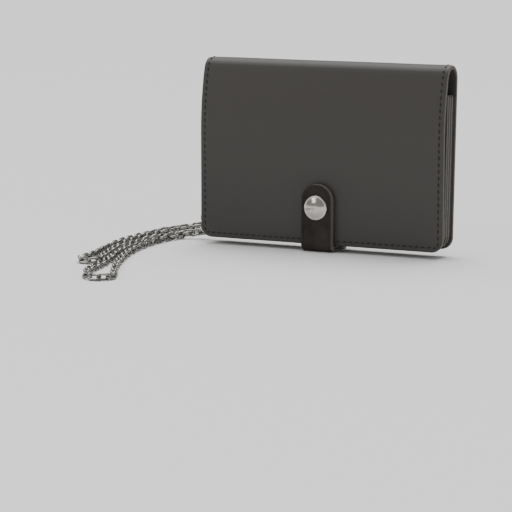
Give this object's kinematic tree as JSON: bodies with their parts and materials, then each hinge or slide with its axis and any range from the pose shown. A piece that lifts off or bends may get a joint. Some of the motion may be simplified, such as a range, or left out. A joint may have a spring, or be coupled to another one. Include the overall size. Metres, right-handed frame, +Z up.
{
  "type": "chain wallet",
  "caption": "Flap-over leather wallet that opens along its top fold, held shut by a press-stud strap, with a folded belt chain and a swivel hook.",
  "frame": {"origin": "middle of the flat underside of the strap, on which the wallet stands, under the middle of its width", "axes": "+Z up towards the fold, -Y out of the front cover, +X to the right as seen from the front"},
  "size_m": [0.1677, 0.1997, 0.0944],
  "materials": {
    "cover_leather": "smooth waxed leather, satin",
    "inner_leather": "matt lining leather with paler raw edges",
    "thread": "waxed black thread",
    "chain_steel": "aged nickel plate, darker in the crevices",
    "ring_nickel": "aged nickel plate",
    "snap_nickel": "polished nickel"
  },
  "bodies": {
    "back": {"back_cover": "cover_leather", "back_lining": "inner_leather", "back_seam_thread": "thread", "leaf_rear": "inner_leather", "leaf_middle": "inner_leather", "leaf_front": "inner_leather", "note_pocket_gusset_left": "inner_leather", "note_pocket_gusset_right": "inner_leather", "note_pocket_floor": "inner_leather", "middle_pocket_gusset_left": "inner_leather", "middle_pocket_gusset_right": "inner_leather", "middle_pocket_floor": "inner_leather", "front_pocket_gusset_left": "inner_leather", "front_pocket_gusset_right": "inner_leather", "front_pocket_floor": "inner_leather", "strap_base": "cover_leather", "strap_base_lining": "inner_leather", "strap_base_thread": "thread", "ring_chape": "cover_leather", "chain_run_1": "chain_steel", "chain_run_2": "chain_steel", "chain_run_3": "chain_steel", "chain_run_4": "chain_steel", "hook_eye": "ring_nickel"},
    "spine_strip_1": {"spine_1": "cover_leather", "spine_lining_1": "inner_leather"},
    "spine_strip_2": {"spine_2": "cover_leather", "spine_lining_2": "inner_leather"},
    "spine_strip_3": {"spine_3": "cover_leather", "spine_lining_3": "inner_leather"},
    "spine_strip_4": {"spine_4": "cover_leather", "spine_lining_4": "inner_leather"},
    "front": {"front_cover": "cover_leather", "front_lining": "inner_leather", "front_seam_thread": "thread", "card_slot_rear": "inner_leather", "card_slot_front": "inner_leather", "snap_stud": "snap_nickel", "snap_rivet": "snap_nickel"},
    "strap": {"strap_tab": "cover_leather", "strap_tab_lining": "inner_leather", "strap_tab_thread": "thread", "snap_cap": "snap_nickel", "snap_socket": "snap_nickel"},
    "ring": {"d_ring": "ring_nickel"},
    "link": {"jump_ring": "ring_nickel"},
    "hook": {"hook_body": "ring_nickel", "gate_pin": "ring_nickel"},
    "gate": {"hook_gate": "ring_nickel"}
  },
  "joints": [
    {"name": "cover_open", "type": "hinge", "parent": "back", "child": "spine_strip_1", "pos_m": [0, 0.01034, 0.08689], "axis": [-1, 0, 0], "range_deg": [0, 35]},
    {"name": "spine_fold_2", "type": "hinge", "parent": "spine_strip_1", "child": "spine_strip_2", "pos_m": [0, 0.00872, 0.09177], "axis": [-1, 0, 0], "range_deg": [0, 35]},
    {"name": "spine_fold_3", "type": "hinge", "parent": "spine_strip_2", "child": "spine_strip_3", "pos_m": [0, 0.00424, 0.09432], "axis": [-1, 0, 0], "range_deg": [0, 35]},
    {"name": "spine_fold_4", "type": "hinge", "parent": "spine_strip_3", "child": "spine_strip_4", "pos_m": [0, -0.00078, 0.09323], "axis": [-1, 0, 0], "range_deg": [0, 35]},
    {"name": "spine_fold_5", "type": "hinge", "parent": "spine_strip_4", "child": "front", "pos_m": [0, -0.0038, 0.08906], "axis": [-1, 0, 0], "range_deg": [0, 35]},
    {"name": "strap_open", "type": "hinge", "parent": "back", "child": "strap", "pos_m": [0, -0.0113, 0.0042], "axis": [1, 0, 0], "range_deg": [0, 120]},
    {"name": "ring_swing", "type": "hinge", "parent": "back", "child": "ring", "pos_m": [-0.0676, 0.00541, 0.01106], "axis": [0, 0.0436, 0.999], "range_deg": [-20, 20]},
    {"name": "link_swing", "type": "hinge", "parent": "ring", "child": "link", "pos_m": [-0.0699, 0.00526, 0.00768], "axis": [1, 0, 0], "range_deg": [-20, 20]},
    {"name": "hook_swivel", "type": "hinge", "parent": "back", "child": "hook", "pos_m": [-0.04626, 0.056, 0.002], "axis": [0.9918, 0.1275, 0], "continuous": true},
    {"name": "gate_open", "type": "hinge", "parent": "hook", "child": "gate", "pos_m": [-0.03814, 0.06178, 0.002], "axis": [0, 0, -1], "range_deg": [0, 28], "stiffness_Nm_per_rad": 0.002, "springref_deg": -5.73}
  ],
  "couplings": [
    {"joint": "spine_fold_2", "follows": "cover_open", "ratio": 1},
    {"joint": "spine_fold_3", "follows": "cover_open", "ratio": 1},
    {"joint": "spine_fold_4", "follows": "cover_open", "ratio": 1},
    {"joint": "spine_fold_5", "follows": "cover_open", "ratio": 1}
  ]
}
